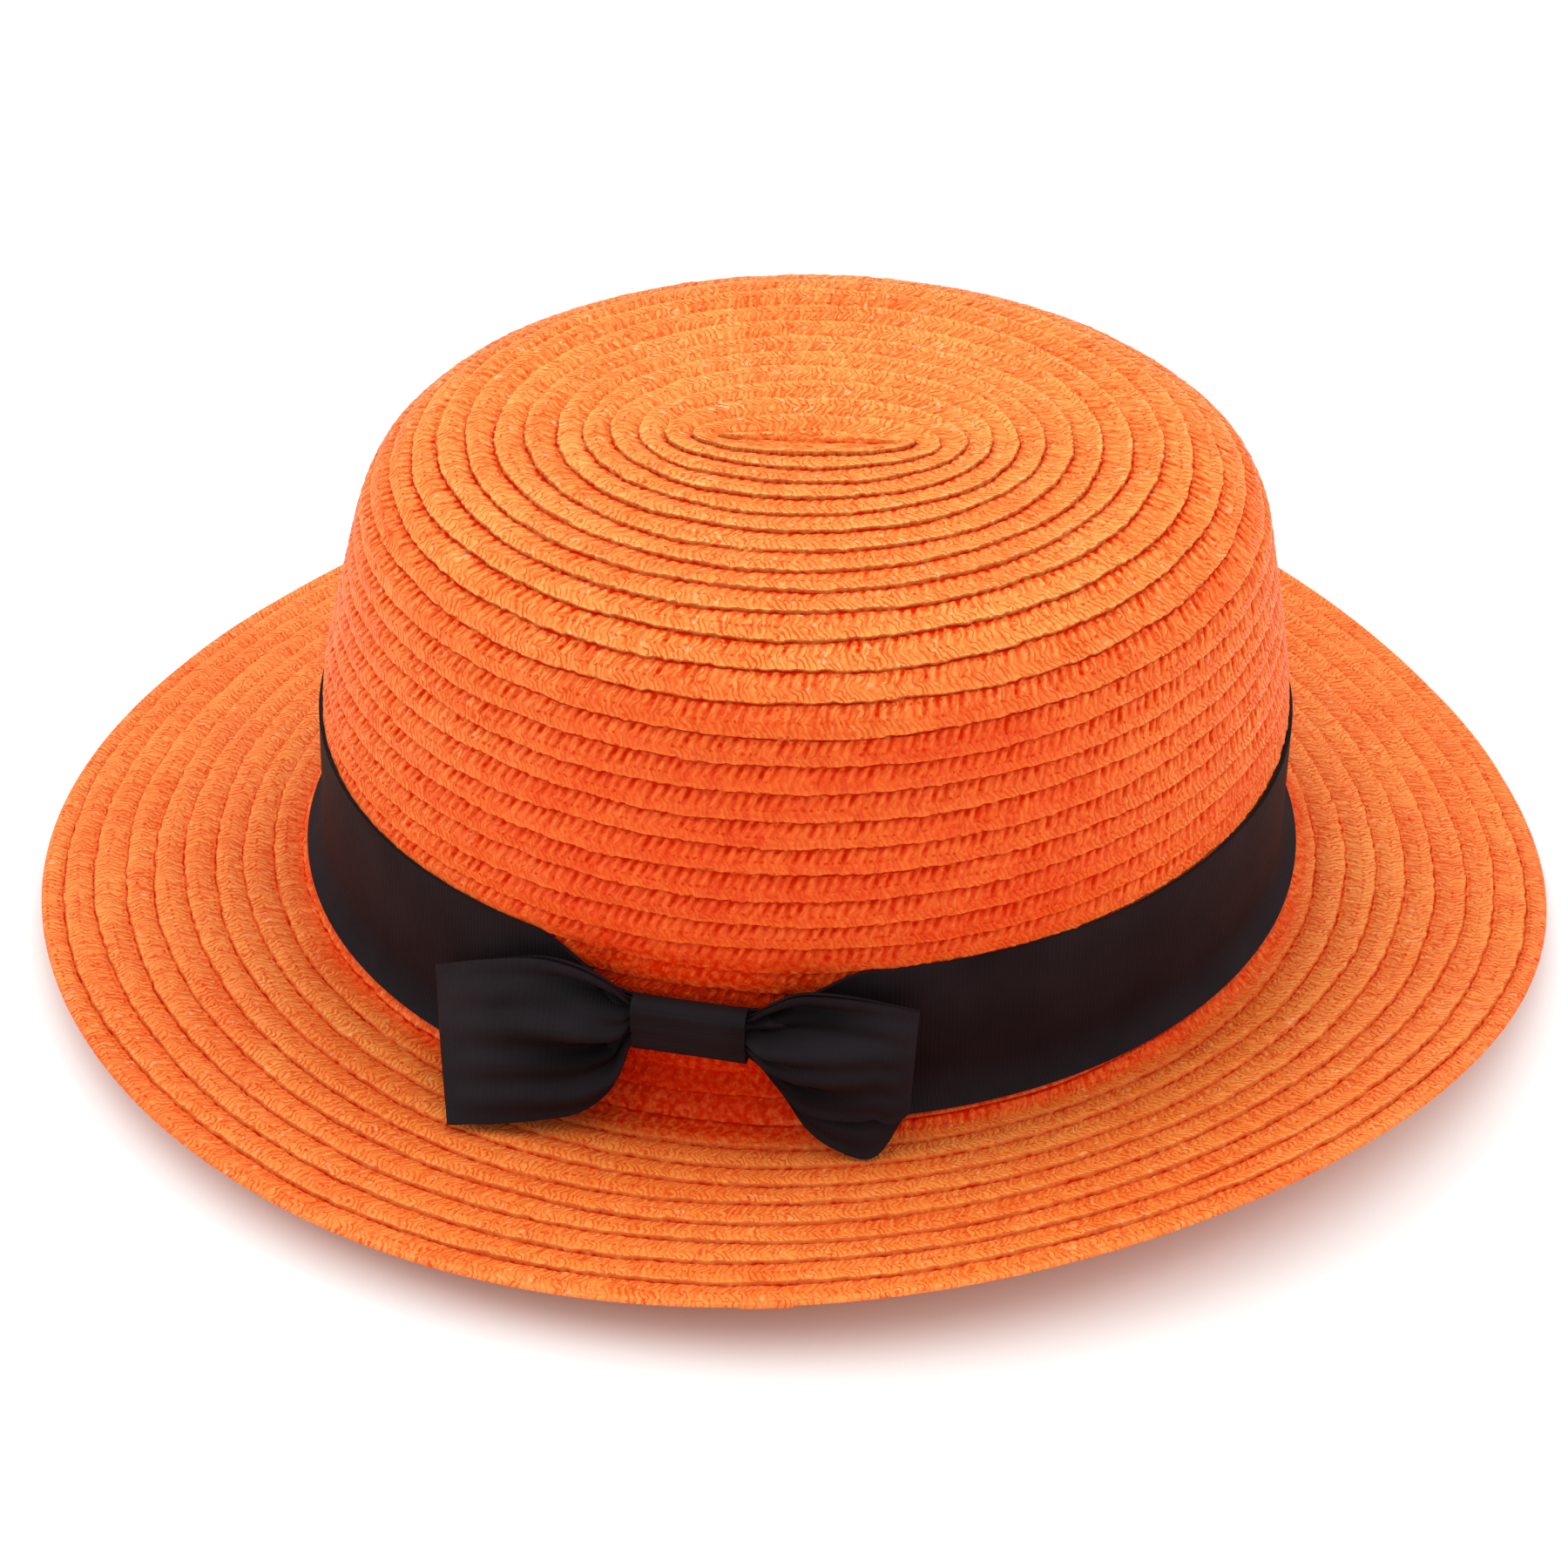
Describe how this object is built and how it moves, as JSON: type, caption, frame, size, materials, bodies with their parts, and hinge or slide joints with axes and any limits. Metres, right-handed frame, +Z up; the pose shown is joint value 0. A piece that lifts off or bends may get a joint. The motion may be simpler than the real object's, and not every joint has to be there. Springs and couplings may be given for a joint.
{
  "type": "straw boater hat",
  "caption": "Straw boater hat with an oval flat-topped crown, a wide brim all round, and a dark ribbon band tied in a flat bow at the front.",
  "frame": {"origin": "on the ground plane, under the middle of the hat's outline", "axes": "+X along the long axis of the oval, -Y towards the side with the bow, +Z up out of the crown's flat tip"},
  "size_m": [0.2984, 0.2772, 0.1016],
  "materials": {
    "straw_braid": "sewn orange straw braid, slightly glossy",
    "ribbon": "black ribbon, matte"
  },
  "bodies": {
    "root": {"crown": "straw_braid", "brim": "straw_braid", "ribbon_band": "ribbon", "bow_wing_left": "ribbon", "bow_wing_right": "ribbon", "bow_knot": "ribbon"}
  },
  "joints": []
}
